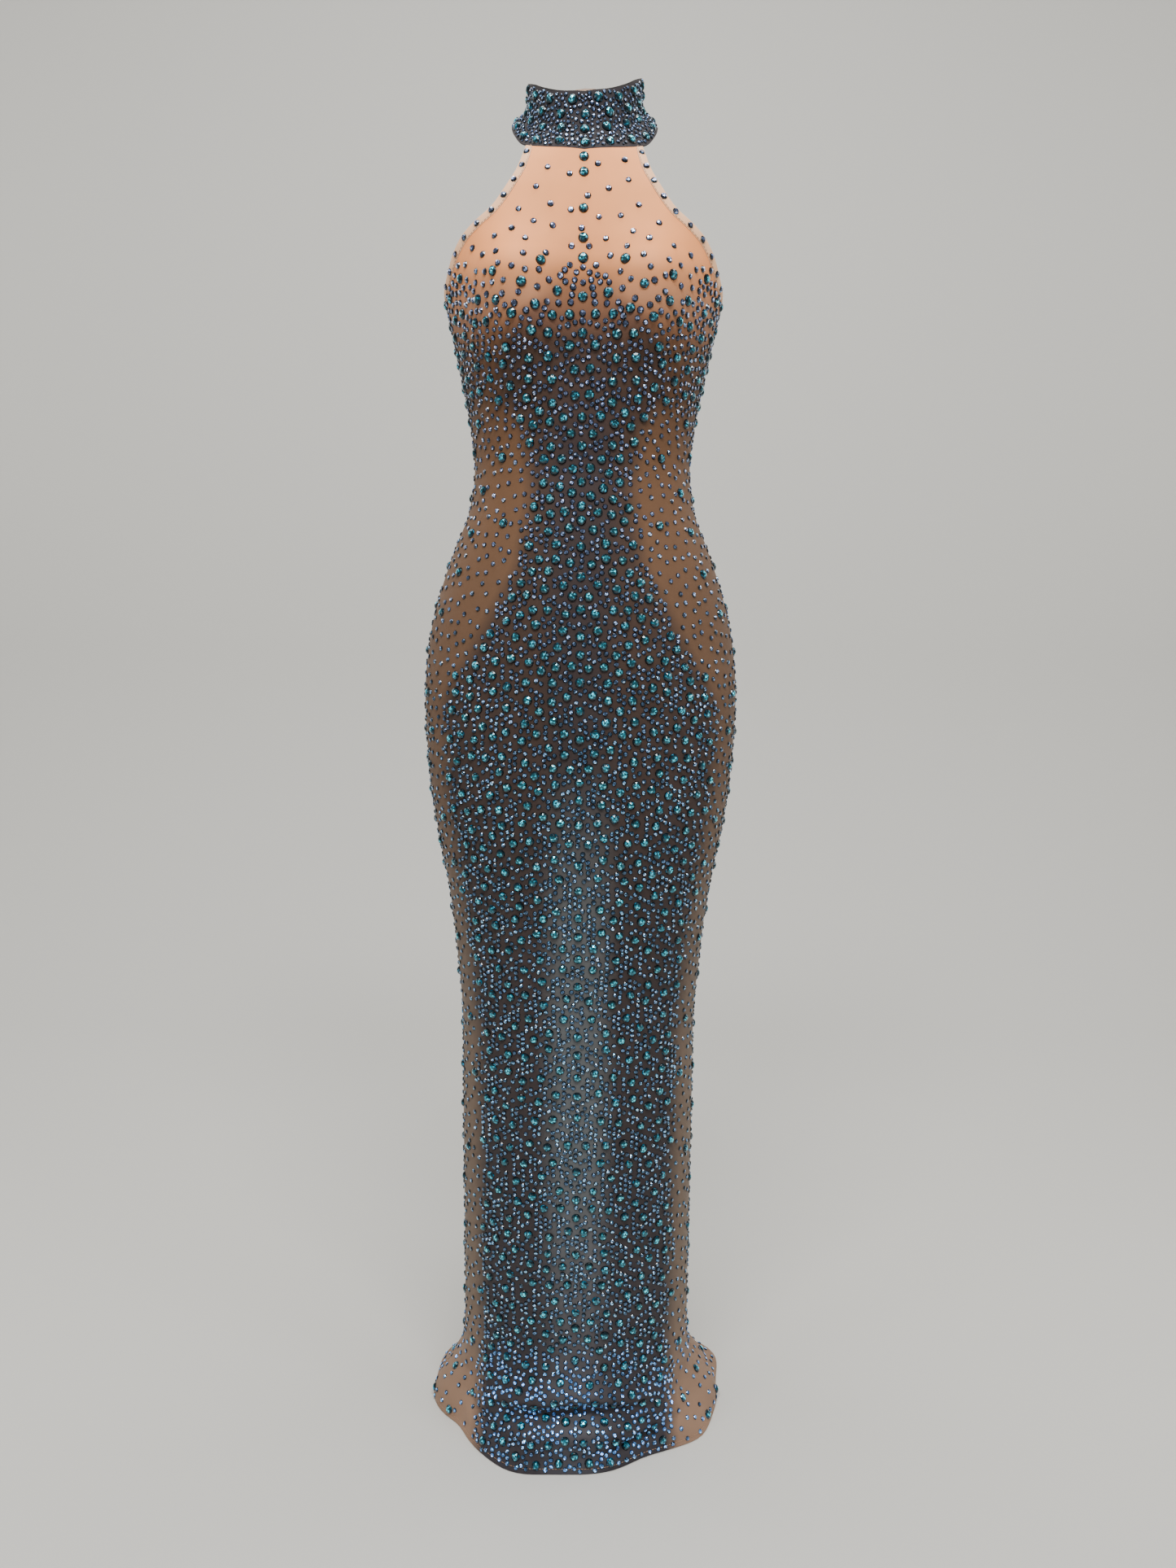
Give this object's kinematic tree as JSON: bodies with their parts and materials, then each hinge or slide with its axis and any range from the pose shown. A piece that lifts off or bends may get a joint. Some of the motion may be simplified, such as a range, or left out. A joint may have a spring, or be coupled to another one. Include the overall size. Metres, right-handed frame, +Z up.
{
  "type": "evening gown",
  "caption": "Floor-length halter evening gown in sheer mesh set with rhinestones, with a stand collar, bound armholes and a centre back zip, in its worn hollow form.",
  "frame": {"origin": "centre of the neck, where the collar is seamed to the gown", "axes": "+Z up along the gown to the top of the collar, +X towards the gown's left side, -Y towards its front"},
  "size_m": [0.3502, 0.2714, 1.4863],
  "materials": {
    "mesh_fabric": "sheer skin-toned stretch mesh, matte, with a fine open knit",
    "binding_fabric": "folded strip of the same mesh, paler where it is double",
    "collar_fabric": "stiffened mesh covered with blue and teal stones",
    "zip_tape_fabric": "woven skin-toned zip tape, matte",
    "zip_metal": "polished nickel",
    "stone_glass": "faceted foil-backed glass stones, periwinkle blue and teal"
  },
  "bodies": {
    "gown": {"collar_band": "collar_fabric", "front_panel": "mesh_fabric", "back_panel_left": "mesh_fabric", "back_panel_right": "mesh_fabric", "armhole_binding_left": "binding_fabric", "armhole_binding_right": "binding_fabric", "zip_tape": "zip_tape_fabric", "zip_slider": "zip_metal"},
    "pull_tab": {"zip_pull_tab": "zip_metal"}
  },
  "joints": [
    {"name": "pull_tab_swing", "type": "hinge", "parent": "gown", "child": "pull_tab", "pos_m": [0, 0.06135, 0.07364], "axis": [1, 0, 0], "range_deg": [0, 165]}
  ]
}
